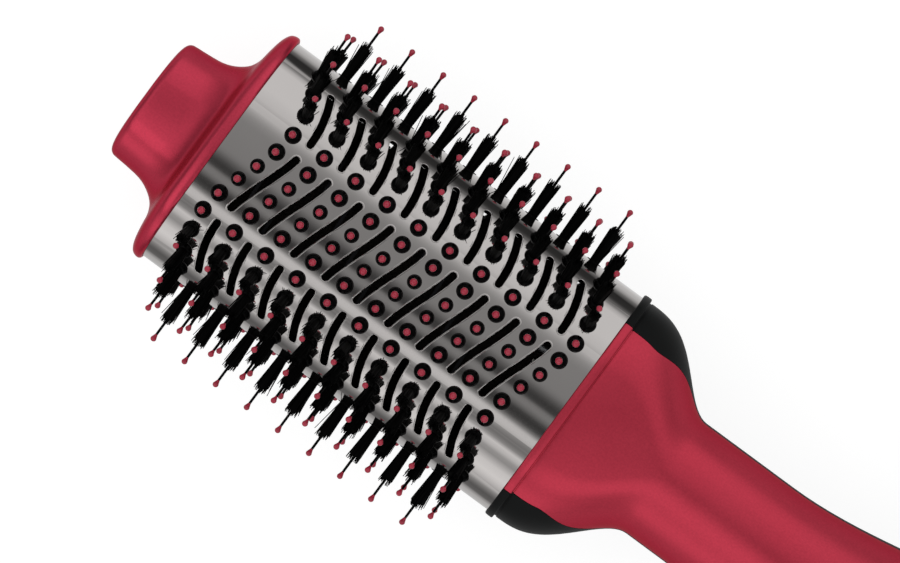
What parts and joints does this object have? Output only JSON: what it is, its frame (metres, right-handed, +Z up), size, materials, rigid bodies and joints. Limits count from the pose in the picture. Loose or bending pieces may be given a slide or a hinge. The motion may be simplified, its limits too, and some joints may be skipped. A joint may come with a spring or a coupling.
{
  "type": "hair dryer brush",
  "caption": "Hot-air styling brush: oval perforated barrel with ball-tipped pins and bristle tufts, capped tip, flared handle with fan, selector dial and swivel cord inlet.",
  "frame": {"origin": "on the resting surface under the middle of the brush", "axes": "+X along the brush from the tip towards the handle, +Z up out of the front face of the barrel, brush resting on the tufts of its back face"},
  "size_m": [0.368, 0.1106, 0.0759],
  "materials": {
    "cap_red": "soft-touch satin",
    "cover_red": "soft-touch satin",
    "shell_black": "fine satin",
    "barrel_metal": "satin ceramic-coated sheet",
    "pin_black": "satin moulded nylon",
    "tuft_black": "satin nylon bristle and carrier",
    "inner_plastic": "plain moulded",
    "steel": "zinc plated",
    "mica": "flaky board",
    "heater_alloy": "oxidised wire",
    "white_ceramic": "glazed",
    "fuse_metal": "plated",
    "board_green": "lacquered",
    "lead_white": "silicone sleeve",
    "housing_white": "plain moulded",
    "sleeve_rubber": "matt",
    "motor_steel": "drawn can",
    "fan_grey": "plain moulded",
    "end_black": "fine satin",
    "filter_steel": "dark etched",
    "switch_cream": "plain moulded",
    "contact_brass": "tinned brass",
    "dial_black": "fine satin",
    "slider_red": "plain moulded",
    "spring_steel": "spring strip",
    "gland_black": "satin moulded"
  },
  "bodies": {
    "handle": {"cool_tip": "cap_red", "tip_bracket": "inner_plastic", "tip_screws": "steel", "tie_rods": "steel", "barrel": "barrel_metal", "front_pin_insert": "pin_black", "back_pin_insert": "pin_black", "left_tuft_insert": "tuft_black", "right_tuft_insert": "tuft_black", "mica_frame": "mica", "heating_wire": "heater_alloy", "thermostat": "white_ceramic", "thermal_fuse": "fuse_metal", "barrel_socket": "inner_plastic", "front_cover": "cover_red", "rear_shell": "shell_black", "shell_screws": "steel", "rectifier_board": "board_green", "lead_wires": "lead_white", "fan_housing": "housing_white", "motor_sleeve": "sleeve_rubber", "motor": "motor_steel", "end_cap": "end_black", "inlet_filter": "filter_steel", "switch_body": "switch_cream", "switch_contacts": "contact_brass", "detent_spring": "spring_steel"},
    "dial": {"dial_ring": "dial_black", "switch_slider": "slider_red"},
    "fan": {"impeller": "fan_grey", "fan_shaft": "steel"},
    "gland": {"cord_gland": "gland_black", "gland_clip": "inner_plastic"}
  },
  "joints": [
    {"name": "dial_turn", "type": "hinge", "parent": "handle", "child": "dial", "pos_m": [0.144, 0, 0.03794], "axis": [1, 0, 0], "range_deg": [0, 90]},
    {"name": "fan_spin", "type": "hinge", "parent": "handle", "child": "fan", "pos_m": [0.117, 0, 0.03794], "axis": [1, 0, 0], "continuous": true},
    {"name": "gland_swivel", "type": "hinge", "parent": "handle", "child": "gland", "pos_m": [0.1765, 0, 0.03794], "axis": [1, 0, 0], "continuous": true}
  ]
}
